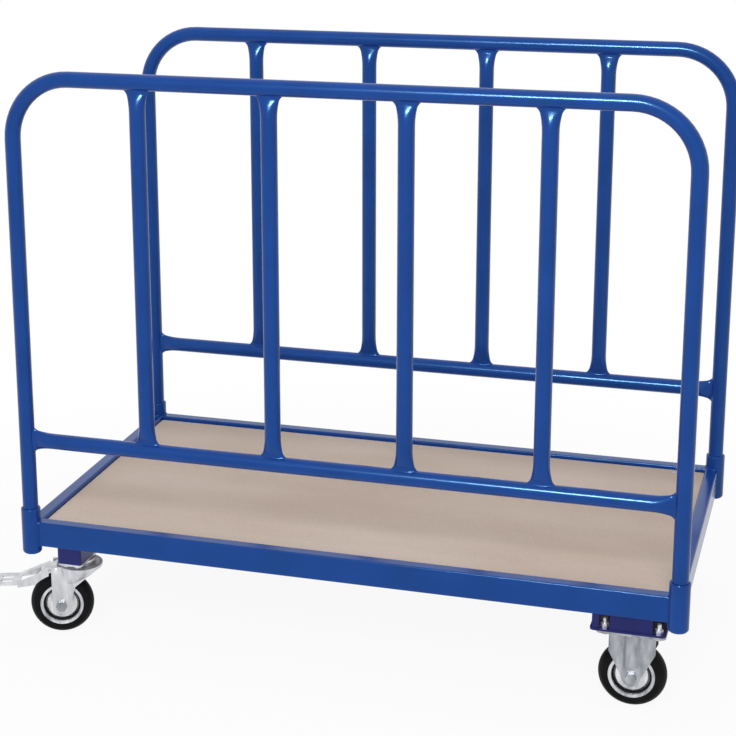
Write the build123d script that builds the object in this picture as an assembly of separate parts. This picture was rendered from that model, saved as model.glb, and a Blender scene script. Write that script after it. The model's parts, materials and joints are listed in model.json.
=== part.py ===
"""Stanchion trolley: a welded deck frame on casters with two plug-in side hoops.

Millimetres. +Z is up and the floor is z = 0. +X runs along the trolley, from the swivel casters at the
left end to the fixed casters at the right end. -Y is the front. The origin is on the floor, in the
middle of the trolley's overall length and width.
"""
import os
from math import cos, pi, radians, sin, sqrt

from build123d import *

# Side hoops
leg_spacing_x = 1250.0
leg_spacing_y = 670.0
tube_diameter = 30.0
tube_wall = 2.0
hoop_bend_radius = 115.0
top_rail_height = 1114.0
lower_rail_height = 412.0
stanchion_count = 4
pressed_thickness = 7.0
pressed_length = 42.0
pressed_steps = 4

# Corner sockets
socket_clearance = 0.5
socket_wall = 3.5
socket_above_rail = 28.0
socket_below_rail = 16.0
socket_floor_thickness = 4.0
socket_mouth_radius = 2.5
socket_bottom_radius = 7.0
drain_diameter = 8.0

# Deck frame
rail_height = 50.0
rail_width = 25.0
rail_wall = 2.0
rail_edge_radius = 3.0
rail_outset = 7.0
ledge_width = 25.0
ledge_height = 20.0
ledge_thickness = 3.0
bearer_count = 2
bearer_width = 30.0
bearer_height = 20.0
bearer_wall = 2.0
bearer_edge_radius = 2.5

# Deck board
board_thickness = 15.0
board_recess = 8.0
board_gap = 1.5
board_corner_radius = 6.0
screw_count_per_side = 5
screw_head_diameter = 10.0
screw_shank_diameter = 5.0
screw_head_height = 3.0
screw_sink = 0.4
screw_edge_distance = 12.0
screw_end_distance = 60.0
screw_tail = 6.0

# Casters, common sizes
caster_head_room = 35.0
caster_inset_y = 50.0
swivel_inset_x = 78.0
fixed_inset_x = 82.0
fixed_plate_length = 124.0
swivel_plate_length = 50.0
plate_width = 105.0
plate_thickness = 4.0
plate_corner_radius = 8.0
fixed_hole_spacing_x = 96.0
swivel_hole_spacing_x = 24.0
hole_spacing_y = 76.0
bolt_diameter = 8.0
bolt_hole_clearance = 0.5
bolt_across_flats = 13.0
bolt_head_height = 5.3
nut_height = 6.5
bolt_tail = 10.0

# Caster brackets
bracket_height = 33.0
bracket_thickness = 4.0
bracket_web_setback = 2.0
bracket_inner_reach = 74.0
bolt_gap_width = 20.0
post_inset = 4.0
gusset_thickness = 4.0
gusset_spacing = 60.0
tray_corner_radius = 5.0
pin_head_clearance = 3.0

# Wheels
wheel_diameter = 125.0
tyre_width = 36.0
tyre_shoulder_drop = 9.0
rim_seat_diameter = 78.0
rim_lip_height = 3.5
rim_lip_width = 3.0
rim_sheet = 2.0
rim_dish_depth = 6.0
rim_groove_depth = 3.5
rim_groove_width = 4.0
hub_diameter = 27.0
hub_length = 43.0
axle_diameter = 12.0
running_clearance = 0.05
axle_across_flats = 19.0
axle_head_height = 7.5
axle_nut_height = 8.0
axle_tail = 3.0

# Forks
hub_end_gap = 0.5
fork_sheet = 3.5
fork_boss_radius = 17.0
fork_rib_width = 28.0
fork_rib_height = 5.0
fork_rib_bevel = 4.4
fork_rib_end_gap = 22.0
fixed_fork_top_length = 84.0
fixed_fork_bend_rise = 49.0
swivel_trail = 38.0
swivel_rest_angle = 20.0
crown_thickness = 5.5
crown_gap = 11.5
crown_radius = 44.0
bowl_depth = 31.0
bowl_setback = 18.0
bowl_wheel_gap = 4.0
fork_waist_rise = 39.0
fork_waist_lead = 10.0
fork_waist_trail = 56.0
king_pin_diameter = 12.0
king_pin_head_diameter = 22.0
king_pin_head_height = 7.0
king_pin_head_bevel = 2.3
king_pin_rivet_height = 3.0
king_pin_rivet_bevel = 1.5
moving_gap = 0.3
race_diameter = 60.0
race_height = 5.0
ball_ring_bore_gap = 3.0
ball_ring_edge_radius = 1.5

# Brake pedals
pedal_reach = 165.0
pedal_sheet = 3.0
pedal_neck_width = 34.0
pedal_width = 56.0
pedal_leg_gap = 5.0
pedal_tread_length = 42.0
pedal_knee_drop = 24.0
pedal_eye_radius = 6.5
pedal_cheek_depth = 24.0
pedal_cheek_end_depth = 8.0
pedal_corner_radius = 6.0
pedal_window_gap = 6.0
pedal_strip_width = 11.0
pedal_slot_count = 2
pedal_slot_width = 12.0
pedal_slot_length = 26.0
brake_pin_diameter = 6.0
brake_pin_trail = 46.0
brake_pin_drop = 8.0
brake_pin_head_diameter = 10.0
brake_pin_head_height = 2.0
brake_shoe_gap = 6.0
brake_shoe_start = 6.0
brake_shoe_length = 20.0
brake_shoe_depth = 14.0
brake_shoe_width = 18.0

# Places worked out from the sizes above
tube_radius = tube_diameter / 2
saddle_height = sqrt(tube_radius ** 2 - (pressed_thickness / 2) ** 2)
socket_bore_radius = tube_radius + socket_clearance
socket_radius = socket_bore_radius + socket_wall
wheel_radius = wheel_diameter / 2
caster_height = wheel_diameter + caster_head_room
rail_bottom = caster_height + bracket_height
rail_top = rail_bottom + rail_height
socket_bottom = rail_bottom - socket_below_rail
socket_top = rail_top + socket_above_rail
leg_bottom = socket_bottom + socket_floor_thickness
board_top = rail_top - board_recess
board_bottom = board_top - board_thickness
half_x = leg_spacing_x / 2
half_y = leg_spacing_y / 2
inner_x = half_x + rail_outset - rail_width
inner_y = half_y + rail_outset - rail_width
rest_angle = radians(swivel_rest_angle)
pedal_corner_x = (pedal_reach - pedal_corner_radius) * cos(rest_angle)
pedal_corner_y = (pedal_width / 2 - pedal_corner_radius) * sin(rest_angle)
left_reach = half_x - swivel_inset_x + pedal_corner_x + pedal_corner_y + pedal_corner_radius
right_reach = half_x + socket_radius
centre_x = (left_reach - right_reach) / 2
crown_top = caster_height - plate_thickness - crown_gap
crown_bottom = crown_top - crown_thickness
brake_pin_height = crown_top - brake_pin_drop
plate_bottom = caster_height - plate_thickness
bracket_base_top = caster_height + bracket_thickness
fork_gap = hub_length + 2 * hub_end_gap
fork_half_width = fork_gap / 2 + fork_sheet
cutter_length = 2 * top_rail_height

SIDES = {"front": -1, "rear": 1}
ENDS = {"left": -1, "right": 1}
STANDING = (Align.CENTER, Align.CENTER, Align.MIN)
HANGING = (Align.CENTER, Align.CENTER, Align.MAX)

parts = {}


def box_between(low, high):
    """A box from its lowest corner to its highest corner."""
    size = [b - a for a, b in zip(low, high)]
    return Pos(*low) * Box(*size, align=(Align.MIN, Align.MIN, Align.MIN))


def hexagon(across_flats, height, align=STANDING):
    """A hexagonal prism, for bolt heads and nuts."""
    flat_face = RegularPolygon(across_flats / 2, 6, major_radius=False)
    prism = extrude(flat_face, height)
    if align == HANGING:
        prism = Pos(0, 0, -height) * prism
    return prism


def leg_place(end, side, z=0.0):
    """Where a leg of a hoop stands."""
    return Pos(centre_x + end * half_x, side * half_y, z)


def caster_place(end, side):
    """Where a caster's plate centre is, on the floor."""
    inset = swivel_inset_x if end == ENDS["left"] else fixed_inset_x
    return Pos(centre_x + end * (half_x - inset), side * (half_y - caster_inset_y), 0)


def pressed_section(radius, thin_radius):
    """A tube's section pressed to an oval: the girth stays that of the round tube."""
    return Ellipse(thin_radius + pi * (radius - thin_radius) / 2, thin_radius)


def pressed_end(radius, thin_radius):
    """The end of a tube pressed flat across Y, easing from round at z = 0 to flat at the top."""
    sections = []
    for step in range(pressed_steps + 1):
        share = step / pressed_steps
        oval = pressed_section(radius, radius + (thin_radius - radius) * share * share)
        sections.append(Pos(0, 0, pressed_length * share) * oval)
    return loft(sections)


def pressed_bar(radius, thin_radius, length):
    """A bar of this radius with both ends pressed flat, standing on z = 0."""
    middle = length - 2 * pressed_length
    end = pressed_end(radius, thin_radius)
    bar = Pos(0, 0, pressed_length) * Cylinder(radius, middle, align=STANDING)
    bar += Pos(0, 0, pressed_length + middle) * end
    bar += Pos(0, 0, pressed_length) * Rot(180, 0, 0) * end
    return bar


def pressed_tube(span):
    """A round tube with both ends pressed flat and saddled to fit between two tubes a span apart.

    It stands on z = 0, the axis of the lower of the two tubes, which both run along X.
    """
    thin = pressed_thickness / 2
    length = span - 2 * saddle_height
    outer = pressed_bar(tube_radius, thin, length)
    inner = pressed_bar(tube_radius - tube_wall, thin - tube_wall, length)
    neighbour = Rot(0, 90, 0) * Cylinder(tube_radius, span)
    return Pos(0, 0, saddle_height) * (outer - inner) - [neighbour, Pos(0, 0, span) * neighbour]


def make_hoop(name, side, lower_rail, stanchion):
    """One side hoop: a bent tube, a lower rail and the stanchions between them."""
    left = centre_x - half_x
    right = centre_x + half_x
    y = side * half_y
    corners = [
        (left, y, leg_bottom),
        (left, y, top_rail_height),
        (right, y, top_rail_height),
        (right, y, leg_bottom),
    ]
    path = FilletPolyline(*corners, radius=hoop_bend_radius)
    ring = Circle(tube_radius) - Circle(tube_radius - tube_wall)
    parts[f"{name}_hoop_tube"] = sweep(Plane(path @ 0, z_dir=path % 0) * ring, path=path)
    start = Pos(left, y, lower_rail_height)
    parts[f"{name}_lower_rail"] = start * Rot(0, 90, 0) * lower_rail
    bay = leg_spacing_x / (stanchion_count + 1)
    for number in range(1, stanchion_count + 1):
        parts[f"{name}_stanchion_{number}"] = start * Pos(number * bay, 0, 0) * stanchion


def make_socket():
    """A corner socket: a cup of thick tube with a rounded mouth and a drain hole in its floor."""
    length = socket_top - socket_bottom
    cup = Cylinder(socket_radius, length, align=STANDING)
    cup = fillet(cup.edges().sort_by(Axis.Z)[0], socket_bottom_radius)
    cup = fillet(cup.edges().sort_by(Axis.Z)[-1], socket_mouth_radius)
    cup -= Pos(0, 0, socket_floor_thickness) * Cylinder(socket_bore_radius, length, align=STANDING)
    cup -= Cylinder(drain_diameter / 2, socket_floor_thickness, align=STANDING)
    return cup


def rectangular_tube(width, height, wall, edge_radius, length):
    """A rectangular tube standing on z = 0, with its width along X and its height along Y."""
    outer = RectangleRounded(width, height, edge_radius)
    inner = RectangleRounded(width - 2 * wall, height - 2 * wall, edge_radius - wall)
    return extrude(outer - inner, length)


def make_frame():
    """The deck frame: four rails between four sockets, and what carries the deck board."""
    socket = make_socket()
    posts = []
    for side_name, side in SIDES.items():
        for end_name, end in ENDS.items():
            parts[f"{side_name}_{end_name}_socket"] = leg_place(end, side, socket_bottom) * socket
            post = Cylinder(socket_radius, socket_top - socket_bottom, align=STANDING)
            posts.append(leg_place(end, side, socket_bottom) * post)

    rail_middle = rail_bottom + rail_height / 2
    rail_offset = rail_outset - rail_width / 2
    long_rail = rectangular_tube(rail_height, rail_width, rail_wall, rail_edge_radius, leg_spacing_x)
    for side_name, side in SIDES.items():
        place = Pos(centre_x - half_x, side * (half_y + rail_offset), rail_middle)
        parts[f"{side_name}_rail"] = place * Rot(0, 90, 0) * long_rail - posts
    end_rail = rectangular_tube(rail_width, rail_height, rail_wall, rail_edge_radius, 2 * inner_y)
    for end_name, end in ENDS.items():
        place = Pos(centre_x + end * (half_x + rail_offset), inner_y, rail_middle)
        parts[f"{end_name}_end_rail"] = place * Rot(90, 0, 0) * end_rail - posts

    ledges = []
    for side in SIDES.values():
        wall_y = side * inner_y
        toe_y = side * (inner_y - ledge_width)
        skin_y = side * (inner_y - ledge_thickness)
        x_low = centre_x - inner_x
        x_high = centre_x + inner_x
        shelf = box_between(
            (x_low, min(wall_y, toe_y), board_bottom - ledge_thickness),
            (x_high, max(wall_y, toe_y), board_bottom))
        back = box_between(
            (x_low, min(wall_y, skin_y), board_bottom - ledge_height),
            (x_high, max(wall_y, skin_y), board_bottom))
        ledges.append(shelf + back - posts)

    bearer_length = 2 * (inner_y - ledge_width)
    bearer = rectangular_tube(bearer_width, bearer_height, bearer_wall, bearer_edge_radius, bearer_length)
    bearer_step = leg_spacing_x / (bearer_count + 1)
    bearers = []
    for number in range(1, bearer_count + 1):
        place = Pos(
            centre_x - half_x + number * bearer_step,
            bearer_length / 2,
            board_bottom - bearer_height / 2)
        bearers.append(place * Rot(90, 0, 0) * bearer)
    parts["cross_bearers"] = Compound(children=bearers)

    half_board_x = inner_x - board_gap
    half_board_y = inner_y - board_gap
    outline = RectangleRounded(2 * half_board_x, 2 * half_board_y, board_corner_radius)
    board = Pos(centre_x, 0, board_bottom) * extrude(outline, board_thickness)

    head_top = board_top - screw_sink
    shank_length = board_thickness - screw_sink - screw_head_height + ledge_thickness + screw_tail
    head = Cone(screw_shank_diameter / 2, screw_head_diameter / 2, screw_head_height, align=HANGING)
    shank = Cylinder(screw_shank_diameter / 2, shank_length, align=HANGING)
    screw = head + Pos(0, 0, -screw_head_height) * shank
    mouth = Cylinder(screw_head_diameter / 2, screw_sink, align=STANDING)
    first_x = centre_x - half_board_x + screw_end_distance
    screw_step = 2 * (half_board_x - screw_end_distance) / (screw_count_per_side - 1)
    screws = []
    for side in SIDES.values():
        for number in range(screw_count_per_side):
            place = Pos(first_x + number * screw_step, side * (half_board_y - screw_edge_distance), head_top)
            screws.append(place * screw)
            board -= place * (screw + mouth)
    parts["deck_board"] = board
    parts["deck_ledges"] = Compound(children=[ledge - screws for ledge in ledges])
    parts["deck_screws"] = Compound(children=screws)


def hole_places(end):
    """The four bolt places of a caster plate, from the plate's centre."""
    spacing_x = swivel_hole_spacing_x if end == ENDS["left"] else fixed_hole_spacing_x
    return [Pos(column * spacing_x / 2, row * hole_spacing_y / 2, 0)
            for column in ENDS.values() for row in SIDES.values()]


def drilled(plate, end):
    """A plate with the four bolt holes of that end's casters cut through it at every height."""
    hole = Cylinder(bolt_diameter / 2 + bolt_hole_clearance, cutter_length)
    return plate - [place * hole for place in hole_places(end)]


def make_fixed_bracket(side):
    """A fixed caster's bracket: a base and a front web, open at the bolts, with two gussets behind the web.

    It is drawn with its outer face to +Y and the corner socket to +X. The web stops at the outer bolt, and
    the base carries on under that bolt.
    """
    half_length = fixed_plate_length / 2
    half_width = plate_width / 2
    web_face = half_width - bracket_web_setback
    web_back = web_face - bracket_thickness
    web_end = (fixed_hole_spacing_x - bolt_gap_width) / 2
    base = box_between(
        (-bracket_inner_reach, -half_width, 0),
        (half_length, half_width, bracket_thickness))
    base = fillet(base.edges().filter_by(Axis.Z), plate_corner_radius)
    web = box_between(
        (-web_end, web_back, bracket_thickness),
        (web_end, web_face, bracket_height))
    post = box_between(
        (-bracket_inner_reach + post_inset, web_back, bracket_thickness),
        (-web_end - bolt_gap_width, web_face, bracket_height))
    bracket = drilled(base, ENDS["right"]) + web + post
    triangle = make_face(Polyline(
        (plate_corner_radius - half_width, bracket_thickness),
        (web_back, bracket_thickness),
        (web_back, bracket_height),
        close=True))
    gusset = extrude(Plane.YZ * triangle, gusset_thickness / 2, both=True)
    for place in ENDS.values():
        bracket += Pos(place * gusset_spacing / 2, 0, 0) * gusset
    if side == SIDES["front"]:
        bracket = mirror(bracket, about=Plane.XZ)
    return caster_place(ENDS["right"], side) * Pos(0, 0, caster_height) * bracket


def make_swivel_bracket(side):
    """A swivel caster's bracket: a narrow tray with a drilled base, two side walls and a front wall.

    It is drawn with its outer face to +Y. The walls reach up to the rail, and the nuts lie between them.
    """
    half_width = plate_width / 2
    wall_face = swivel_plate_length / 2 - bracket_thickness
    tray = extrude(Rectangle(swivel_plate_length, plate_width), bracket_height)
    tray = fillet(tray.edges().filter_by(Axis.Z).group_by(Axis.Y)[-1], tray_corner_radius)
    tray -= box_between(
        (-wall_face, -half_width, bracket_thickness),
        (wall_face, half_width - bracket_thickness, bracket_height))
    tray -= Cylinder(king_pin_head_diameter / 2 + pin_head_clearance, cutter_length)
    tray = drilled(tray, ENDS["left"])
    if side == SIDES["front"]:
        tray = mirror(tray, about=Plane.XZ)
    return caster_place(ENDS["left"], side) * Pos(0, 0, caster_height) * tray


def make_caster_bolts():
    """The bolts and nuts that hold the caster plates to their brackets."""
    grip = plate_thickness + bracket_thickness
    shank = Cylinder(bolt_diameter / 2, grip + nut_height + bolt_tail, align=STANDING)
    bolt = shank + hexagon(bolt_across_flats, bolt_head_height, HANGING)
    nut = hexagon(bolt_across_flats, nut_height) - Cylinder(bolt_diameter / 2, nut_height, align=STANDING)
    bolts = []
    nuts = []
    for side in SIDES.values():
        for end in ENDS.values():
            for place in hole_places(end):
                spot = caster_place(end, side) * place
                bolts.append(spot * Pos(0, 0, plate_bottom) * bolt)
                nuts.append(spot * Pos(0, 0, bracket_base_top) * nut)
    parts["caster_bolts"] = Compound(children=bolts)
    parts["caster_nuts"] = Compound(children=nuts)


def axle_turn(side):
    """Turns +Z to the outer side of the trolley."""
    return Rot(-90 * side, 0, 0)


def make_tyre():
    """A solid tyre with a rounded tread, turned about Z."""
    seat = rim_seat_diameter / 2
    half = tyre_width / 2
    neck = half - rim_lip_width
    lip = seat + rim_lip_height
    shoulder = wheel_radius - tyre_shoulder_drop
    side_line = Polyline((shoulder, -half), (lip, -half), (lip, -neck), (seat, -neck),
                         (seat, neck), (lip, neck), (lip, half), (shoulder, half))
    tread = ThreePointArc((shoulder, half), (wheel_radius, 0), (shoulder, -half))
    return revolve(Plane.XZ * make_face(side_line + tread), Axis.Z)


def make_rim():
    """A rim of two pressed half shells that meet in the middle of the wheel, turned about Z."""
    half = tyre_width / 2
    seat = rim_seat_diameter / 2
    lip = seat + rim_lip_height
    hub = hub_diameter / 2
    dish = half - rim_dish_depth
    groove = dish - rim_groove_depth
    groove_out = seat - rim_sheet
    groove_in = groove_out - rim_groove_width
    slope = rim_groove_depth
    profile = Polyline(
        (hub, dish),
        (groove_in - slope, dish),
        (groove_in, groove),
        (groove_out - rim_sheet, groove),
        (groove_out, half),
        (lip, half),
        (lip, half - rim_lip_width),
        (seat, half - rim_lip_width),
        (seat, 0),
        (groove_out, 0),
        (groove_out, groove - rim_sheet),
        (groove_in - rim_sheet / 2, groove - rim_sheet),
        (groove_in - slope - rim_sheet / 2, dish - rim_sheet),
        (hub, dish - rim_sheet),
        close=True)
    shell = revolve(Plane.XZ * make_face(profile), Axis.Z)
    return Compound(children=[shell, mirror(shell, about=Plane.XY)])


def make_wheel(name, place):
    """The pieces of one wheel, with its axle along Y through the given place."""
    turn = place * Rot(90, 0, 0)
    bore = axle_diameter / 2 + running_clearance
    bush = Cylinder(hub_diameter / 2, hub_length) - Cylinder(bore, hub_length)
    parts[f"{name}_tyre"] = turn * make_tyre()
    parts[f"{name}_rim"] = turn * make_rim()
    parts[f"{name}_hub_bush"] = turn * bush


def make_axle(outer_width):
    """An axle bolt along Z with its nut: the head stands on one fork leg, the nut on the other."""
    half = outer_width / 2
    radius = axle_diameter / 2
    bolt = Cylinder(radius, outer_width + axle_nut_height + axle_tail, align=HANGING)
    bolt = Pos(0, 0, half) * (bolt + hexagon(axle_across_flats, axle_head_height))
    nut = hexagon(axle_across_flats, axle_nut_height, HANGING)
    nut -= Cylinder(radius, axle_nut_height, align=HANGING)
    return Compound(children=[bolt, Pos(0, 0, -half) * nut])


def leg_pair(face):
    """The two side plates of a fork, from one face in XZ, a wheel's width apart."""
    inner = fork_gap / 2
    front_leg = Pos(0, -inner, 0) * extrude(Plane.XZ * face, fork_sheet)
    return front_leg + mirror(front_leg, about=Plane.XZ)


def fork_boss(x):
    """The round end of a fork leg about the axle."""
    return Pos(x, wheel_radius) * Circle(fork_boss_radius)


def axle_hole(x):
    """The axle's hole through both fork legs."""
    hole = Cylinder(axle_diameter / 2, cutter_length)
    return Pos(x, 0, wheel_radius) * Rot(90, 0, 0) * hole


def make_fixed_caster(name, side):
    """A fixed caster: a drilled plate with two ribbed legs, an axle and a wheel."""
    spot = caster_place(ENDS["right"], side)
    half_top = fixed_fork_top_length / 2
    bend_height = wheel_radius + fixed_fork_bend_rise
    cheek = make_face(Polyline(
        (-half_top, plate_bottom),
        (half_top, plate_bottom),
        (half_top, bend_height),
        (fork_boss_radius, wheel_radius),
        (-fork_boss_radius, wheel_radius),
        (-half_top, bend_height),
        close=True))
    legs = leg_pair(cheek + fork_boss(0))
    rib_low = wheel_radius + fork_rib_end_gap
    rib_face = Pos(0, (rib_low + plate_bottom) / 2) * Rectangle(fork_rib_width, plate_bottom - rib_low)
    rib = extrude(Plane.XZ * rib_face, fork_rib_height)
    outer_edges = rib.faces().sort_by(Axis.Y)[0].edges().filter_by(Axis.Z)
    rib = chamfer(outer_edges, fork_rib_bevel)
    rib = Pos(0, -fork_half_width, 0) * rib
    plate = Pos(0, 0, plate_bottom) * extrude(
        RectangleRounded(fixed_plate_length, plate_width, plate_corner_radius), plate_thickness)
    fork = drilled(plate, ENDS["right"]) + legs + rib + mirror(rib, about=Plane.XZ) - axle_hole(0)
    parts[f"{name}_fixed_fork"] = spot * fork
    axle_place = spot * Pos(0, 0, wheel_radius)
    axle = make_axle(2 * fork_half_width)
    parts[f"{name}_fixed_axle"] = axle_place * axle_turn(side) * axle
    make_wheel(f"{name}_fixed", axle_place)


def make_king_pin():
    """The pin that a swivel fork turns on, riveted into the plate above and headed below."""
    head_top = crown_bottom - moving_gap
    shank = Pos(0, 0, head_top) * Cylinder(
        king_pin_diameter / 2, caster_height - head_top, align=STANDING)
    head = Pos(0, 0, head_top) * Cylinder(
        king_pin_head_diameter / 2, king_pin_head_height, align=HANGING)
    head = chamfer(head.edges().group_by(Axis.Z)[0], king_pin_head_bevel)
    rivet = Pos(0, 0, caster_height) * Cylinder(
        king_pin_head_diameter / 2, king_pin_rivet_height, align=STANDING)
    rivet = chamfer(rivet.edges().group_by(Axis.Z)[-1], king_pin_rivet_bevel)
    return shank + head + rivet


def make_swivel_plate():
    """A swivel caster's plate with the race that the ball ring runs under."""
    plate = Pos(0, 0, plate_bottom) * extrude(
        RectangleRounded(swivel_plate_length, plate_width, plate_corner_radius), plate_thickness)
    race = Pos(0, 0, plate_bottom) * Cylinder(race_diameter / 2, race_height, align=HANGING)
    pin_hole = Cylinder(king_pin_diameter / 2, cutter_length)
    return drilled(plate, ENDS["left"]) + race - pin_hole


def make_bowl():
    """The pressed bowl under a swivel fork's crown: it narrows from the crown to the legs as it goes down."""

    def cone(inset):
        wide = Pos(0, 0, crown_bottom) * Circle(crown_radius - inset)
        narrow = Pos(-bowl_setback, 0, crown_bottom - bowl_depth) * Circle(fork_half_width - inset)
        return loft([narrow, wide])

    return cone(0) - cone(fork_sheet)


def make_swivel_fork():
    """A swivel fork: a round crown and its bowl, over two legs that trail behind the king pin."""
    axle_x = -swivel_trail
    waist_height = wheel_radius + fork_waist_rise
    crown_lead = sqrt(crown_radius ** 2 - fork_half_width ** 2)
    cheek = make_face(Polyline(
        (crown_lead, crown_top),
        (-fork_waist_trail, crown_top),
        (-fork_waist_trail, waist_height),
        (axle_x - fork_boss_radius, wheel_radius),
        (axle_x + fork_boss_radius, wheel_radius),
        (-fork_waist_lead, waist_height),
        (crown_lead, crown_bottom),
        close=True))
    legs = leg_pair(cheek + fork_boss(axle_x))
    crown = Pos(0, 0, crown_bottom) * Cylinder(crown_radius, crown_thickness, align=STANDING)
    crown -= Cylinder(king_pin_diameter / 2 + running_clearance, cutter_length)
    crown_tail = brake_pin_trail - pedal_eye_radius - pedal_sheet
    inner = fork_gap / 2
    pedal_room = box_between((-cutter_length, -inner, 0), (-crown_tail, inner, cutter_length))
    wheel_room = Cylinder(wheel_radius + bowl_wheel_gap, fork_gap)
    wheel_room = Pos(axle_x, 0, wheel_radius) * Rot(90, 0, 0) * wheel_room
    head = crown + make_bowl() - [pedal_room, wheel_room]
    pin_hole = Cylinder(brake_pin_diameter / 2, cutter_length)
    pin_place = Pos(-brake_pin_trail, 0, brake_pin_height) * Rot(90, 0, 0)
    return head + legs - axle_hole(axle_x) - pin_place * pin_hole


def make_ball_ring():
    """The ring of the swivel bearing, which lies on the crown just under the plate's race."""
    height = crown_gap - race_height - moving_gap
    outer = race_diameter / 2
    inner = king_pin_diameter / 2 + ball_ring_bore_gap
    ring = Cylinder(outer, height, align=STANDING) - Cylinder(inner, height, align=STANDING)
    ring = fillet(ring.edges().filter_by(GeomType.CIRCLE).sort_by(SortBy.RADIUS)[-2:], ball_ring_edge_radius)
    return Pos(0, 0, crown_top) * ring


def make_brake_pedal():
    """A brake pedal: a neck on the pin, a wide open arm with side cheeks, a slotted tread and a shoe."""
    eye_x = -brake_pin_trail
    wide_x = -fork_waist_trail - pedal_leg_gap
    knee_x = pedal_tread_length - pedal_reach
    arm_z = brake_pin_height + pedal_eye_radius
    knee_z = brake_pin_height - pedal_knee_drop
    slope = (knee_z - arm_z) / (knee_x - eye_x)

    def under_arm(start_x, end_x, depth, end_depth, width):
        """A block of the given width under the arm's top face, between two distances along X."""
        start_z = arm_z + slope * (start_x - eye_x)
        end_z = arm_z + slope * (end_x - eye_x)
        face = make_face(Polyline(
            (start_x, start_z),
            (end_x, end_z),
            (end_x, end_z - end_depth),
            (start_x, start_z - depth),
            close=True))
        return Pos(0, width / 2, 0) * extrude(Plane.XZ * face, width)

    neck = under_arm(eye_x, wide_x, pedal_sheet, pedal_sheet, pedal_neck_width)
    arm = under_arm(wide_x, knee_x, pedal_sheet, pedal_sheet, pedal_width)
    cheeks = under_arm(wide_x, knee_x, pedal_cheek_depth, pedal_cheek_end_depth, pedal_width)
    cheeks -= under_arm(wide_x, knee_x, cutter_length, cutter_length, pedal_width - 2 * pedal_sheet)
    tread = box_between(
        (-pedal_reach, -pedal_width / 2, knee_z - pedal_sheet),
        (knee_x, pedal_width / 2, knee_z))
    tread = fillet(tread.edges().filter_by(Axis.Z).group_by(Axis.X)[0], pedal_corner_radius)
    slot = extrude(SlotOverall(pedal_slot_length, pedal_slot_width), cutter_length)
    slot_step = pedal_width / (pedal_slot_count + 1)
    for number in range(pedal_slot_count):
        slot_y = (number + 1) * slot_step - pedal_width / 2
        tread -= Pos(knee_x - pedal_tread_length / 2, slot_y, 0) * slot
    shoe_start = eye_x - brake_shoe_start
    shoe_end = shoe_start - brake_shoe_length
    shoe = under_arm(shoe_start, shoe_end, brake_shoe_depth, brake_shoe_depth, brake_shoe_width)
    window_half_width = pedal_width / 2 - pedal_strip_width
    arm -= box_between(
        (knee_x + pedal_window_gap, -window_half_width, 0),
        (shoe_end - pedal_window_gap, window_half_width, cutter_length))
    wheel_place = Pos(-swivel_trail, 0, wheel_radius) * Rot(90, 0, 0)
    room = wheel_place * Cylinder(wheel_radius + brake_shoe_gap, cutter_length)
    eye_place = Pos(eye_x, 0, brake_pin_height) * Rot(90, 0, 0)
    eye = eye_place * Cylinder(pedal_eye_radius, pedal_neck_width)
    pin_hole = eye_place * Cylinder(brake_pin_diameter / 2 + running_clearance, cutter_length)
    return neck + arm + tread + (cheeks + shoe - room) + eye - pin_hole


def make_brake_pin():
    """The pin that a brake pedal turns on, headed outside both fork legs."""
    pin = Cylinder(brake_pin_diameter / 2, 2 * fork_half_width)
    head = Cylinder(brake_pin_head_diameter / 2, brake_pin_head_height, align=STANDING)
    pin += Pos(0, 0, fork_half_width) * head
    pin += Pos(0, 0, -fork_half_width) * Rot(180, 0, 0) * head
    return Pos(-brake_pin_trail, 0, brake_pin_height) * Rot(90, 0, 0) * pin


def make_swivel_caster(name, side):
    """A swivel caster, whose wheel trails to the left and is turned a little outwards at rest."""
    spot = caster_place(ENDS["left"], side)
    parts[f"{name}_swivel_plate"] = spot * make_swivel_plate()
    parts[f"{name}_king_pin"] = spot * make_king_pin()
    spot *= Rot(0, 0, -side * swivel_rest_angle)
    parts[f"{name}_ball_ring"] = spot * make_ball_ring()
    parts[f"{name}_swivel_fork"] = spot * make_swivel_fork()
    parts[f"{name}_brake_pin"] = spot * make_brake_pin()
    parts[f"{name}_brake_pedal"] = spot * make_brake_pedal()
    axle_place = spot * Pos(-swivel_trail, 0, wheel_radius)
    axle = make_axle(2 * fork_half_width)
    parts[f"{name}_swivel_axle"] = axle_place * axle_turn(side) * axle
    make_wheel(f"{name}_swivel", axle_place)


make_frame()
lower_rail = pressed_tube(leg_spacing_x)
stanchion = pressed_tube(top_rail_height - lower_rail_height)
for side_name, side in SIDES.items():
    make_hoop(side_name, side, lower_rail, stanchion)
    parts[f"{side_name}_left_bracket"] = make_swivel_bracket(side)
    parts[f"{side_name}_right_bracket"] = make_fixed_bracket(side)
    make_swivel_caster(side_name, side)
    make_fixed_caster(side_name, side)
make_caster_bolts()

os.makedirs("parts", exist_ok=True)
for node, shape in parts.items():
    export_step(shape, f"parts/{node}.step")
print(len(parts), "nodes, frame centre at x =", centre_x)
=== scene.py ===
# %% [markdown]
# # A stanchion trolley, dressed
#
# The CAD model gives every rigid piece of this trolley at its true size: two tubular hoops, a
# welded deck frame, a board and four casters. This lesson loads that model and dresses it. It adds
# what a welder, a paint shop and a rubber mould leave behind: weld beads, powder coat, zinc,
# moulded tyres and a coated board.

# %% Load the CAD model
import json
from math import cos, pi, radians, sin

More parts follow.
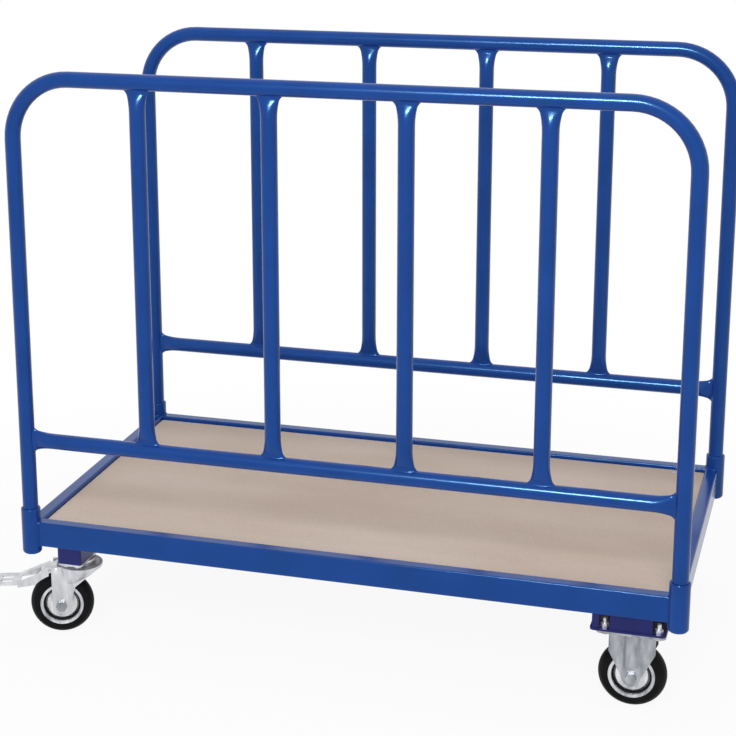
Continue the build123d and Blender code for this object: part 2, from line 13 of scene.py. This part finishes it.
import bpy
import numpy as np
from mathutils import Matrix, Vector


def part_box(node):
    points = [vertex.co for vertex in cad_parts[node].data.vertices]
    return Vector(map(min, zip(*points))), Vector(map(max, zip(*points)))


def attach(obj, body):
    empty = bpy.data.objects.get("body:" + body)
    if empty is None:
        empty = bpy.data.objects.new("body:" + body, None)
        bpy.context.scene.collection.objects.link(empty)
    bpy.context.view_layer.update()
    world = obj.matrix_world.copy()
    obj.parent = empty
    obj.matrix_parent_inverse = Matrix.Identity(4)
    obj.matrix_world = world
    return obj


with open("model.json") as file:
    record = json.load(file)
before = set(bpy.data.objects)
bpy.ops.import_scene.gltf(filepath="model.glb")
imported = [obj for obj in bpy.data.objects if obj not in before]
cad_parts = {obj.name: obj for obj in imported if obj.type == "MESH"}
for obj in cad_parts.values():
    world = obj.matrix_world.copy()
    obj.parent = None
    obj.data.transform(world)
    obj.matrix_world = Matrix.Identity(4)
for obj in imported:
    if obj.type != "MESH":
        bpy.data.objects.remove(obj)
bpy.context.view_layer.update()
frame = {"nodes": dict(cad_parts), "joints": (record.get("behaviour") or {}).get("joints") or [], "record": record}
nodes = frame["nodes"]

# %% [markdown]
# ## The camera
#
# A product photograph of a long trolley is taken from some distance, so the lens is a short
# telephoto. The camera stands off the right end at eye height and looks a little to the left and
# down. It could be aimed with a Track To constraint, but a matrix built from yaw, pitch and roll
# says plainly which way it points.

# %% Camera matrix
camera_place = (0.9295, -3.3926, 1.6192)
camera_yaw = radians(-17.73)
camera_pitch = radians(14.94)
camera_roll = radians(0.53)


def stand(place, right, up, forward):
    """The matrix of a camera or a lamp at a place: its columns are right, up and backwards."""
    turn = Matrix(np.column_stack([right, up, -forward]).tolist()).to_4x4()
    return Matrix.Translation(place) @ turn


def camera_matrix():
    """Forward is +Y turned by the yaw and dipped by the pitch; right and up roll about it."""
    flat = cos(camera_pitch)
    forward = np.array([sin(camera_yaw) * flat, cos(camera_yaw) * flat, -sin(camera_pitch)])
    level = np.array([cos(camera_yaw), -sin(camera_yaw), 0.0])
    down = np.cross(forward, level)
    right = cos(camera_roll) * level + sin(camera_roll) * down
    up = sin(camera_roll) * level - cos(camera_roll) * down
    return stand(camera_place, right, up, forward)


print("camera", round(camera_place[2], 2), "m above the floor")

# %% [markdown]
# ### The lens
#
# The lens's own middle isn't the middle of the picture: the picture is a part of a wider view. The
# camera could be turned until the trolley is central, but that would tilt its upright lines, so
# the lens is shifted instead.

# %% Lens
image_size = 736
lens_centre = (294, 283)
focal_pixels = 1848.8
sensor_width = 36.0


def new_object(name, data):
    """An object that holds this data, linked into the scene."""
    holder = bpy.data.objects.new(name, data)
    bpy.context.scene.collection.objects.link(holder)
    return holder


lens = bpy.data.cameras.new("camera")
lens.sensor_width = sensor_width
lens.lens = sensor_width * focal_pixels / image_size
lens.shift_x = (image_size / 2 - lens_centre[0]) / image_size
lens.shift_y = (lens_centre[1] - image_size / 2) / image_size
camera = new_object("camera", lens)
camera.matrix_world = camera_matrix()
bpy.context.scene.camera = camera
print("lens", round(lens.lens, 1), "mm, shift", round(lens.shift_x, 3), round(lens.shift_y, 3))

# %% [markdown]
# ## Surfaces from arrays
#
# Every new piece here is a grid of points: one parameter runs along a path and the other runs
# round a profile, and both close on themselves. Such shapes could be swept by hand, but numpy
# works out all the points of a grid at once, and several grids of one size go into one mesh.

# %% Grid surfaces
def grid_faces(rows, columns):
    """Quads of a closed grid: each joins two neighbours in a row to the same two a row on."""
    row, column = np.mgrid[:rows, :columns]
    next_row = (row + 1) % rows
    next_column = (column + 1) % columns
    corners = [row * columns + column, row * columns + next_column,
               next_row * columns + next_column, next_row * columns + column]
    return np.stack(corners, -1).reshape(-1, 4)


def grid_piece(name, grids, body, material):
    """One mesh from closed grids, (count, rows, columns, 3) in metres, riding on a body."""
    grids = np.asarray(grids, float)
    count, rows, columns = grids.shape[:3]
    starts = np.arange(count)[:, None, None] * rows * columns
    faces = (grid_faces(rows, columns) + starts).reshape(-1, 4)
    mesh = bpy.data.meshes.new(name)
    mesh.from_pydata(grids.reshape(-1, 3), [], faces)
    mesh.polygons.foreach_set("use_smooth", np.ones(len(faces), bool))
    mesh.materials.append(material)
    mesh.update()
    piece = new_object(name, mesh)
    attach(piece, body)
    print(name, count, "grids,", len(faces), "faces, on", body)
    return piece

# %% [markdown]
# ## Finishes
#
# Each finish is one Principled shader. A picture of the stuff could be wrapped round every piece,
# but it would need unwrapping and would blur close up. Noise on Object coordinates needs neither:
# it varies the colour and the roughness and gives a fine bump, so nothing is one flat colour.

# %% Colours and shaders
def linear(red, green, blue):
    """Screen values of 0 to 255 as the light a shader works in: a line near black, then a power."""
    screen = np.array([red, green, blue]) / 255
    light = np.where(screen <= 0.04045, screen / 12.92, ((screen + 0.055) / 1.055) ** 2.4)
    return (*light.tolist(), 1.0)


def new_finish(name, sockets):
    """A material with one Principled shader, whose plain values are set on its own sockets."""
    material = bpy.data.materials.new(name)
    material.use_nodes = True
    shader = material.node_tree.nodes["Principled BSDF"]
    for socket, value in sockets.items():
        shader.inputs[socket].default_value = value
    return material, material.node_tree, shader


print("mid grey on screen is", round(linear(128, 128, 128)[0], 3), "in light")

# %% [markdown]
# ### Noise
#
# Every cloud, streak and pebble here is noise, read at a point's own place on the object. It could
# be baked into pictures once, but live noise has no seams. A stretch below 1 draws it out along an
# axis, which turns blotches into streaks.

# %% Noise
def noise(tree, per_metre, detail=3.0, roughness=0.5, stretch=(1, 1, 1)):
    """Noise on Object coordinates times a stretch, so many blotches to the metre."""
    place = tree.nodes.new("ShaderNodeTexCoord")
    mapping = tree.nodes.new("ShaderNodeMapping")
    mapping.inputs["Scale"].default_value = stretch
    texture = tree.nodes.new("ShaderNodeTexNoise")
    texture.inputs["Scale"].default_value = per_metre
    texture.inputs["Detail"].default_value = detail
    texture.inputs["Roughness"].default_value = roughness
    tree.links.new(place.outputs["Object"], mapping.inputs["Vector"])
    tree.links.new(mapping.outputs["Vector"], texture.inputs["Vector"])
    return texture.outputs["Fac"]

# %% [markdown]
# ### What noise drives
#
# One noise can drive several things: a blend of two colours, a range of roughness, a bump. Each
# of them is a node. They could be wired by hand for every finish, but with these helpers a finish
# reads as a few lines.

# %% Blends and bumps
def two_tone(tree, factor, dark, light, dark_to=0.3, light_from=0.7):
    """Dark up to one place along the factor, light from another on, a straight blend between."""
    node = tree.nodes.new("ShaderNodeValToRGB")
    stops = ((dark_to, dark), (light_from, light))
    for element, (place, colour) in zip(node.color_ramp.elements, stops):
        element.position = place
        element.color = colour
    tree.links.new(factor, node.inputs["Fac"])
    return node.outputs["Color"]


def spread(tree, factor, low, high):
    """A factor from 0 to 1 spread evenly from low to high."""
    node = tree.nodes.new("ShaderNodeMapRange")
    node.inputs["To Min"].default_value = low
    node.inputs["To Max"].default_value = high
    tree.links.new(factor, node.inputs["Value"])
    return node.outputs["Result"]


def bump(tree, shader, height, strength, metres):
    """Tips the surface as if a height of 0 to 1 stood up by so many metres, times the strength."""
    node = tree.nodes.new("ShaderNodeBump")
    node.inputs["Strength"].default_value = strength
    node.inputs["Distance"].default_value = metres
    tree.links.new(height, node.inputs["Height"])
    tree.links.new(node.outputs["Normal"], shader.inputs["Normal"])

# %% [markdown]
# ### Powder coat
#
# Powder coat melts into a smooth, slightly dimpled skin, like orange peel at a scale of two or
# three millimetres. The frame is gentian blue. The brackets under it are a darker indigo, and part of
# that darkness is painted shade for their place in the shadow under the rails. A plain glossy shader
# would mirror the white studio and turn chalky. Here what the skin reflects is tinted with its own
# colour, so the blue stays deep while a lamp draws a pale line along a tube.

# %% Powder coat
def powder_coat(name, dark, light, gloss_tint, roughness):
    """A coloured skin with cloudy shade over hand widths and orange peel over millimetres."""
    sockets = {"Roughness": roughness, "Specular Tint": gloss_tint}
    material, tree, shader = new_finish(name, sockets)
    clouds = noise(tree, per_metre=9.0, detail=4.0)
    tree.links.new(two_tone(tree, clouds, dark, light), shader.inputs["Base Color"])
    peel = noise(tree, per_metre=420.0, detail=1.0)
    bump(tree, shader, peel, strength=0.10, metres=0.0004)
    return material


blue_paint = powder_coat(
    "gentian_blue_coat", dark=linear(15, 53, 126), light=linear(19, 60, 138),
    gloss_tint=(0.3, 0.65, 1.0, 1.0), roughness=0.2)
# The indigo's darkness is partly the brackets' paint and partly painted shade from under the rails.
bracket_paint = powder_coat(
    "indigo_coat_with_painted_shade", dark=linear(21, 27, 77), light=linear(32, 38, 97),
    gloss_tint=(0.4, 0.4, 1.0, 1.0), roughness=0.36)
print("paints:", blue_paint.name, bracket_paint.name)

# %% [markdown]
# ### Zinc plate
#
# Casters, pedals and bolts are zinc plated: grey, with drawn streaks and a soft shine. In a white
# studio metal mirrors no shapes, so the streaks' light and dark are partly real drawing marks and
# partly painted reflection. A pure metal would look like chrome here, because all it mirrors is
# white, so a quarter of the plate is left dull. Four tones tell plain sheet, bright sheet, rims and
# bolts apart.

# %% Zinc plate
def zinc_plate(name, dark, light):
    """Plated steel with upright streaks of drawing marks and painted reflection in its colour, and clouds in its
    roughness.
    """
    material, tree, shader = new_finish(name, {"Metallic": 0.75})
    # The streaks' light and dark are partly drawing marks, partly painted reflection.
    streaks_and_reflections = noise(tree, per_metre=70.0, detail=5.0, stretch=(1, 1, 0.3))
    tree.links.new(two_tone(tree, streaks_and_reflections, dark, light), shader.inputs["Base Color"])
    shine = spread(tree, noise(tree, per_metre=140.0), low=0.22, high=0.40)
    tree.links.new(shine, shader.inputs["Roughness"])
    bump(tree, shader, noise(tree, per_metre=700.0, detail=2.0), strength=0.06, metres=0.0002)
    return material


sheet_zinc = zinc_plate("zinc_sheet", linear(124, 128, 133), linear(186, 189, 195))
bright_zinc = zinc_plate("zinc_bright", linear(188, 190, 194), linear(227, 228, 231))
rim_zinc = zinc_plate("zinc_rim", linear(150, 154, 160), linear(238, 239, 241))
bolt_zinc = zinc_plate("zinc_fastener", linear(190, 192, 196), linear(232, 234, 236))
print("zincs:", sheet_zinc.name, bright_zinc.name, rim_zinc.name, bolt_zinc.name)

# %% [markdown]
# ### Tyre rubber
#
# The tyres are solid charcoal rubber, greyer where they have picked up dust. Smooth black would
# pass for plastic. So the gloss is low, a fine pebble breaks it up, and one noise drives both the
# dust and the roughness, because dusty rubber is also the duller rubber.

# %% Tyre rubber
def tyre_rubber():
    """Charcoal rubber, dull and finely pebbled, with greyer dusty clouds."""
    material, tree, shader = new_finish("charcoal_rubber", {"Specular IOR Level": 0.1})
    dust = noise(tree, per_metre=45.0, detail=5.0)
    colour = two_tone(tree, dust, linear(5, 5, 7), linear(17, 18, 21),
                      dark_to=0.35, light_from=0.75)
    tree.links.new(colour, shader.inputs["Base Color"])
    tree.links.new(spread(tree, dust, low=0.42, high=0.66), shader.inputs["Roughness"])
    bump(tree, shader, noise(tree, per_metre=900.0, detail=2.0), strength=0.2, metres=0.0003)
    return material


rubber = tyre_rubber()
print("tyres:", rubber.name)

# %% [markdown]
# ### Coated board
#
# The deck is coated chipboard: greige, nearly smooth, with wide faint clouds along its length. A
# single noise gives one scale only. Two noises, a fine one for the chips and a wide one drawn out
# along the board, are multiplied, so that both show and neither hides the other.

# %% Coated board
def multiply(tree, first, second):
    """One colour times another."""
    node = tree.nodes.new("ShaderNodeMix")
    node.data_type = "RGBA"
    node.blend_type = "MULTIPLY"
    node.inputs["Factor"].default_value = 1.0
    colours_in = [socket for socket in node.inputs if socket.type == "RGBA"]
    tree.links.new(first, colours_in[0])
    tree.links.new(second, colours_in[1])
    return next(socket for socket in node.outputs if socket.type == "RGBA")


def coated_board():
    """Greige coated chipboard: faint chips times wide soft clouds that run along the board."""
    sockets = {"Roughness": 0.6, "Specular IOR Level": 0.1}
    material, tree, shader = new_finish("greige_board", sockets)
    chips = noise(tree, per_metre=220.0, detail=6.0, roughness=0.65)
    clouds = noise(tree, per_metre=6.0, detail=4.0, stretch=(0.35, 1, 1))
    fine = two_tone(tree, chips, linear(200, 184, 172), linear(213, 197, 185),
                    dark_to=0.25, light_from=0.75)
    wide = two_tone(tree, clouds, linear(238, 234, 230), linear(255, 255, 255))
    tree.links.new(multiply(tree, fine, wide), shader.inputs["Base Color"])
    bump(tree, shader, chips, strength=0.05, metres=0.0002)
    return material


board_finish = coated_board()
print("deck:", board_finish.name)

# %% [markdown]
# ### Nylon
#
# In each hub a grey nylon bush turns on the axle. It hardly shows, so it could be plain grey, but
# a faint moulded mottle costs nothing and holds up when the wheel is taken apart.

# %% Nylon
def grey_nylon():
    """Grey nylon with a faint moulded mottle."""
    material, tree, shader = new_finish("grey_nylon", {"Roughness": 0.45})
    mottle = noise(tree, per_metre=200.0)
    colour = two_tone(tree, mottle, linear(62, 63, 66), linear(82, 83, 86))
    tree.links.new(colour, shader.inputs["Base Color"])
    return material


nylon = grey_nylon()
print("bushes:", nylon.name)

# %% [markdown]
# ### Which piece wears which finish
#
# The CAD record names a material for every node. That could be enough, but zinc isn't all alike:
# bolts, rims, pedals and swivel forks are brighter than the fixed forks, so the end of a node's
# name picks the tone.

# %% Finish every CAD node
finish_of_slot = {"blue_paint": blue_paint, "bracket_paint": bracket_paint, "zinc": sheet_zinc,
                  "tyre": rubber, "board": board_finish, "bush": nylon}
finish_of_ending = {("bolts", "nuts", "screws", "pin"): bolt_zinc,
                    ("pedal", "swivel_fork", "swivel_plate"): bright_zinc,
                    ("rim",): rim_zinc}
for entry in frame["record"]["subparts"]:
    finish = finish_of_slot[entry["material_slot"]]
    for endings, zinc in finish_of_ending.items():
        if entry["node"].endswith(endings):
            finish = zinc
    mesh = nodes[entry["node"]].data
    mesh.materials.clear()
    mesh.materials.append(finish)

# %% [markdown]
# ## Welds at the tube ends
#
# Each stanchion is pressed flat at its ends and welded to the rails, and the lower rail is welded
# to the legs in the same way. The CAD boxes give the tube's radius and the foot's width, so the
# welds stay on the tubes if those change.

# %% Pressed tube ends
millimetre = 0.001
pressed_length = 42 * millimetre
foot_half_thickness = 3.5 * millimetre


def box_of(node):
    """The low corner, the high corner and the middle of a CAD node's box."""
    low, high = (np.array(corner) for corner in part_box(node))
    return low, high, (low + high) / 2


hoop_low, hoop_high, _ = box_of("front_hoop_tube")
foot_low, foot_high, _ = box_of("front_stanchion_1")
tube_radius = (hoop_high[1] - hoop_low[1]) / 2
foot_half_width = (foot_high[0] - foot_low[0]) / 2
foot_height = np.sqrt(tube_radius ** 2 - foot_half_thickness ** 2)


def pressed_oval(climb):
    """Half width and half thickness so high above the foot: it rounds out with the square."""
    share = (1 - climb / pressed_length) ** 2
    half_width = tube_radius + (foot_half_width - tube_radius) * share
    half_thickness = tube_radius + (foot_half_thickness - tube_radius) * share
    return half_width, half_thickness


print("tube", round(2 * tube_radius, 4), "m, foot", round(2 * foot_half_width, 4), "m wide")

# %% [markdown]
# ### Ovals round a foot
#
# Seen along the stanchion, the foot and each line of the weld round it are ovals. They could be
# drawn as flat curves, but a weld lies on a round tube. As arrays, the ovals can be held at one
# height or let down onto the tube's skin.

# %% Ovals
weld_steps = 144
foot_turn = np.linspace(0, 2 * pi, weld_steps, endpoint=False)


def oval(half_along, half_across, height=None):
    """Points round an oval at a height above a tube's axis; without one they lie on its skin.

    On the skin the height is the root of the radius squared less the sideways part squared.
    """
    along, across = half_along * np.cos(foot_turn), half_across * np.sin(foot_turn)
    if height is None:
        height = np.sqrt(tube_radius ** 2 - across ** 2)
    return np.stack([along, across, np.broadcast_to(height, across.shape)], -1)


sag = np.ptp(oval(foot_half_width, foot_half_thickness)[:, 2])
print("the foot's edge dips", round(sag / millimetre, 2), "mm over the tube")

# %% [markdown]
# ### The fillet
#
# The weld is a hollow fillet: it leaves the pressed end, sweeps out and lies down on the round
# tube, so that under the paint the two tubes flow into each other. A bevel on a Boolean could do
# it, but a curve carried round the oval foot keeps the flow in one formula.

# %% Fillet round a foot
weld_climb = 13 * millimetre
weld_spread_along = 7 * millimetre
weld_spread_across = 4.5 * millimetre
weld_sink = 0.4 * millimetre
weld_ripple = 0.10 * millimetre
weld_ripples = 36
core_width_share = 0.9
core_thickness_share = 0.3
curve_steps = 12


def tube_weld(centre, along, across, away):
    """A hollow fillet round an oval foot on a tube, as a closed ring.

    along is the tube's direction, away points from its axis to the foot, across is square to both.
    Each section is a quadratic curve that starts on the pressed end, heads for the foot's edge and
    ends lying on the tube. A cosine ripples it, and a point inside the metal closes it.
    """
    top_along, top_across = pressed_oval(weld_climb)
    top = oval(top_along - weld_sink, top_across - weld_sink, foot_height + weld_climb)
    edge = oval(foot_half_width, foot_half_thickness)
    hem = oval(foot_half_width + weld_spread_along, foot_half_thickness + weld_spread_across)
    hem[:, 2] -= weld_sink
    core = oval(core_width_share * foot_half_width, core_thickness_share * foot_half_thickness,
                foot_height - 2 * weld_sink)
    share = np.linspace(0, 1, curve_steps)[:, None]
    curve = (1 - share) ** 2 * top[:, None] + 2 * share * (1 - share) * edge[:, None]
    curve += share ** 2 * hem[:, None]
    ripple = weld_ripple * np.outer(np.cos(weld_ripples * foot_turn), np.sin(pi * share))
    curve[..., 2] += ripple
    sections = np.concatenate([curve, core[:, None]], 1)
    return centre + sections @ np.stack([along, across, away])

# %% [markdown]
# ### Weld every foot
#
# A stanchion stands on the lower rail and hangs from the hoop, and the lower rail runs from leg to
# leg: ten feet to a hoop. The fillets of one hoop are one piece, since they lift out with it.

# %% Hoop welds
sides = ("front", "rear")
x_axis, y_axis, z_axis = np.eye(3)
for side in sides:
    low, high, (_, hoop_y, _) = box_of(f"{side}_hoop_tube")
    top_z = high[2] - tube_radius
    lower_z = box_of(f"{side}_lower_rail")[2][2]
    welds = []
    for node in sorted(name for name in nodes if name.startswith(f"{side}_stanchion")):
        foot_x = box_of(node)[2][0]
        welds.append(tube_weld(np.array([foot_x, hoop_y, lower_z]), x_axis, y_axis, z_axis))
        welds.append(tube_weld(np.array([foot_x, hoop_y, top_z]), x_axis, -y_axis, -z_axis))
    for leg_x, inward in ((low[0] + tube_radius, x_axis), (high[0] - tube_radius, -x_axis)):
        leg = np.array([leg_x, hoop_y, lower_z])
        welds.append(tube_weld(leg, z_axis, np.cross(inward, z_axis), inward))
    piece = grid_piece(f"{side}_hoop_welds", welds, f"{side}_hoop", blue_paint)

# %% [markdown]
# ## Welds between rails and sockets
#
# The four frame rails butt against the corner sockets, and a round bead runs round each joint. It
# could follow a curve snapped to the wall by hand. Here the path is the rail's outline, so the
# first thing needed is that outline in even steps, with the way out at each.

# %% Rail outline
bead_step = 1.2 * millimetre
corner_points = 8
corner_signs = np.array([[1, 1], [-1, 1], [-1, -1], [1, -1]])


def unit(vectors):
    """Vectors of length one, along the last axis."""
    return vectors / np.linalg.norm(vectors, axis=-1, keepdims=True)


def rounded_outline(width, height, radius):
    """Even points round a rectangle with round corners, and the outward direction at each.

    Each corner is a quarter circle about a point set in by the radius. The line through all four
    is then walked in equal steps, and the directions are carried along with it.
    """
    quarter = np.linspace(0, pi / 2, corner_points)
    turn = (quarter + np.arange(4)[:, None] * pi / 2).ravel()
    outward = np.stack([np.cos(turn), np.sin(turn)], -1)
    inset = np.repeat(corner_signs, corner_points, 0) * (np.array([width, height]) / 2 - radius)
    points = inset + radius * outward
    line = np.concatenate([points, points[:1]])
    directions = np.concatenate([outward, outward[:1]])
    steps = np.linalg.norm(np.diff(line, axis=0), axis=1)
    walked = np.concatenate([[0], np.cumsum(steps)])
    places = np.linspace(0, walked[-1], round(walked[-1] / bead_step), endpoint=False)

    def at_places(values):
        """Each column of values, read off in a straight blend at the walked places."""
        return np.stack([np.interp(places, walked, column) for column in values.T], -1)

    return at_places(line), unit(at_places(directions))

# %% [markdown]
# ### The bead
#
# Every point of the outline is moved along the rail until it meets the socket's round wall, and a
# small circle is carried along the path that this gives. The circle swells and shrinks, as a bead
# does where the welder paused.

# %% Rail welds
bead_radius = 2.0 * millimetre
bead_ripple = 0.12
bead_pitch = 3.5 * millimetre
bead_sides = 10
rail_edge_radius = 3 * millimetre
socket_diameter = 38 * millimetre


def rail_weld(socket, rail, along):
    """A rippled bead round a rail's end; along is the rail's direction, away from the socket.

    A point's reach from the socket's axis is the root of the socket's radius squared less the
    point's sideways offset squared. The bead's radius grows and shrinks with a cosine.
    """
    axis = box_of(socket)[2]
    low, high, middle = box_of(rail)
    across = np.cross(along, z_axis)
    rail_width, rail_height = abs((high - low) @ across), high[2] - low[2]
    outline, facing = rounded_outline(rail_width, rail_height, rail_edge_radius)
    offset = (middle - axis) @ across + outline[:, 0]
    reach = np.sqrt(np.maximum((socket_diameter / 2) ** 2 - offset ** 2, 0))
    path = (np.outer(axis @ across + offset, across) + np.outer(axis @ along + reach, along)
            + np.outer(middle[2] + outline[:, 1], z_axis))
    outward = np.outer(facing[:, 0], across) + np.outer(facing[:, 1], z_axis)
    count = len(path)
    ripples = round(count * bead_step / bead_pitch)
    ripple = np.cos(2 * pi * ripples * np.arange(count) / count)
    swell = bead_radius * (1 + bead_ripple * ripple)
    angle = np.linspace(0, 2 * pi, bead_sides, endpoint=False)[:, None]
    circle = np.cos(angle) * outward[:, None] + np.sin(angle) * along
    return path[:, None] + swell[:, None, None] * circle


welds = []
for side, end_rail_way in zip(sides, (y_axis, -y_axis)):
    for end, inward in (("left", x_axis), ("right", -x_axis)):
        socket = f"{side}_{end}_socket"
        welds.append(rail_weld(socket, f"{side}_rail", inward))
        welds.append(rail_weld(socket, f"{end}_end_rail", end_rail_way))
piece = grid_piece("rail_welds", welds, "frame", blue_paint)

# %% [markdown]
# ## Dark rings in the rims
#
# Between a rim's bright outer ring and its dished middle lies a groove. A dark rubber ring lies in it:
# partly the tyre's rubber showing there, partly painted shade that darkens the groove. It could be
# painted on, but paint wouldn't lie lower than the rim. So it is a ring with four edges, turned about
# the wheel's axle, one on each face of each wheel.

# %% Rim rings of painted shade
groove_outer_radius = 36.9 * millimetre
groove_inner_radius = 33.2 * millimetre
wheel_half_width = 18 * millimetre
ring_outer_depth = 3.2 * millimetre
ring_inner_depth = 6.0 * millimetre
ring_back_depth = 10 * millimetre
turn_steps = 96


def turned_ring(centre, axle, profile):
    """A profile of (radius, distance along the axle) turned about the axle."""
    level = np.cross(axle, z_axis)
    turn = np.linspace(0, 2 * pi, turn_steps, endpoint=False)[:, None]
    spokes = np.cos(turn) * level + np.sin(turn) * z_axis
    return centre + profile[:, :1] * spokes[:, None] + profile[:, 1:] * axle


# A dark rubber ring in the groove: partly the tyre showing, partly painted shade.
groove_shade_ring = np.array([
    [groove_inner_radius, wheel_half_width - ring_inner_depth],
    [groove_inner_radius, wheel_half_width - ring_back_depth],
    [groove_outer_radius, wheel_half_width - ring_back_depth],
    [groove_outer_radius, wheel_half_width - ring_outer_depth]])
for joint in frame["joints"]:
    wheel = joint["child"]
    if not wheel.endswith("wheel"):
        continue
    axle = unit(np.array(joint["axis"], float))
    centre = np.array(joint["pos_m"], float)
    # One ring of painted shade on each face of the wheel.
    rings = [turned_ring(centre, way * axle, groove_shade_ring) for way in (1, -1)]
    piece = grid_piece(f"{wheel}_rim_shade_rings", rings, wheel, rubber)

# %% [markdown]
# ## Who sees the studio
#
# The trolley stands in a white studio. More light would turn any backdrop white, but it would
# bleach the trolley too. So floor and world ask of each ray what it is for: rays from the camera,
# mirrored rays and rays through glass see white, and the rest see plain matt surroundings.

# %% Rays that see the background
def combine(tree, operation, first, second):
    """Two values made one: the greater of them, or their product."""
    node = tree.nodes.new("ShaderNodeMath")
    node.operation = operation
    tree.links.new(first, node.inputs[0])
    tree.links.new(second, node.inputs[1])
    return node.outputs["Value"]


def seen_by_eye(tree):
    """1 for the rays that show the background: from the camera, mirrored or through glass."""
    rays = tree.nodes.new("ShaderNodeLightPath").outputs
    straight = combine(tree, "MAXIMUM", rays["Is Camera Ray"], rays["Is Glossy Ray"])
    return combine(tree, "MAXIMUM", straight, rays["Is Transmission Ray"])

# %% [markdown]
# ## The floor
#
# A curved paper backdrop would hide the horizon, but a flat floor that glows to the camera needs no
# size of its own. Near the trolley part of the floor is lit, so it keeps a faint shadow; farther
# out it turns plain white, like the world behind it.

# %% Floor glow
lit_radius = 0.7
white_radius = 1.7
near_glow = 0.92


def outward_glow(tree):
    """The near glow inside the lit radius, all of it past the white one, a smooth step between."""
    place = tree.nodes.new("ShaderNodeTexCoord")
    distance = tree.nodes.new("ShaderNodeVectorMath")
    distance.operation = "LENGTH"
    growth = tree.nodes.new("ShaderNodeMapRange")
    growth.interpolation_type = "SMOOTHSTEP"
    growth.inputs["From Min"].default_value = lit_radius
    growth.inputs["From Max"].default_value = white_radius
    growth.inputs["To Min"].default_value = near_glow
    growth.inputs["To Max"].default_value = 1.0
    tree.links.new(place.outputs["Object"], distance.inputs[0])
    tree.links.new(distance.outputs["Value"], growth.inputs["Value"])
    return growth.outputs["Result"]


print("floor white from", white_radius, "m out")

# %% [markdown]
# ### Laying the floor
#
# The floor's shader mixes a pale matt with a white glow. The glow's share is how far out the floor
# is, and only for rays that show the background, so the glow sheds no light on the trolley.

# %% Floor
floor_shade = 0.85
floor_reach = 30.0


def white_ground():
    """A pale matt floor mixed with a glow of strength 1, by the outward glow for seen rays."""
    material = bpy.data.materials.new("white_ground")
    material.use_nodes = True
    tree = material.node_tree
    tree.nodes.clear()
    matt = tree.nodes.new("ShaderNodeBsdfDiffuse")
    matt.inputs["Color"].default_value = (floor_shade, floor_shade, floor_shade, 1)
    glow = tree.nodes.new("ShaderNodeEmission")
    glow.inputs["Strength"].default_value = 1.0
    mix = tree.nodes.new("ShaderNodeMixShader")
    output = tree.nodes.new("ShaderNodeOutputMaterial")
    share = combine(tree, "MULTIPLY", seen_by_eye(tree), outward_glow(tree))
    tree.links.new(share, mix.inputs["Fac"])
    tree.links.new(matt.outputs["BSDF"], mix.inputs[1])
    tree.links.new(glow.outputs["Emission"], mix.inputs[2])
    tree.links.new(mix.outputs["Shader"], output.inputs["Surface"])
    return material


corners = floor_reach * np.array([[-1, -1, 0], [1, -1, 0], [1, 1, 0], [-1, 1, 0]])
floor_mesh = bpy.data.meshes.new("floor")
floor_mesh.from_pydata(corners, [], [(0, 1, 2, 3)])
floor_mesh.materials.append(white_ground())
floor = new_object("floor", floor_mesh)
print("floor", 2 * floor_reach, "m square")

# %% [markdown]
# ## The world
#
# The world is the air all round: white to the eye, and a low even light on the trolley. One
# background could do both only at full strength, which would wash out every shadow, so the
# strength depends on who looks.

# %% World
ambient = 0.3
world = bpy.data.worlds.new("studio")
world.use_nodes = True
bpy.context.scene.world = world
background = world.node_tree.nodes["Background"]
background.inputs["Color"].default_value = (1, 1, 1, 1)
level = spread(world.node_tree, seen_by_eye(world.node_tree), low=ambient, high=1.0)
world.node_tree.links.new(level, background.inputs["Strength"])
print("world lights at", ambient, "and looks white")

# %% [markdown]
# ## The lamps
#
# Two wide soft boxes, in front and overhead, light the colours to about the level they are written
# at. Wide lamps draw no crisp highlights, so they are hidden from mirrored rays, and a narrow strip
# draws them instead: pale lines along the tubes. The strip in turn is hidden from matt surfaces,
# where it would throw the hoop's shadow across the deck.

# %% Lamps
nearly_upright = 0.99


def soft_box(name, place, target, width, height, watts):
    """A rectangular lamp at a place, turned to face a target."""
    lamp = bpy.data.lights.new(name, "AREA")
    lamp.shape = "RECTANGLE"
    lamp.size = width
    lamp.size_y = height
    lamp.energy = watts
    holder = new_object(name, lamp)
    toward = unit(np.array(target, float) - np.array(place, float))
    right = unit(np.cross(toward, z_axis if abs(toward[2]) < nearly_upright else y_axis))
    holder.matrix_world = stand(place, right, np.cross(right, toward), toward)
    print(name, watts, "W")
    return holder


strip = soft_box("strip_box", place=(0.1, -3.4, 2.7), target=(0.1, -0.3, 0.7),
                 width=1.0, height=0.4, watts=170.0)
strip.visible_diffuse = False
fill = soft_box("front_box", place=(0.4, -3.9, 2.6), target=(0.1, 0.0, 0.6),
                width=3.2, height=2.4, watts=125.0)
overhead = soft_box("overhead_box", place=(0.0, 0.3, 3.8), target=(0.0, 0.0, 0.3),
                    width=4.0, height=3.0, watts=60.0)
for lamp in (fill, overhead):
    lamp.visible_glossy = False

# %% [markdown]
# ## The view
#
# The Standard view shows colours as they are written.

# %% View transform
bpy.context.scene.view_settings.view_transform = "Standard"
print("dressed", len(nodes), "CAD nodes")
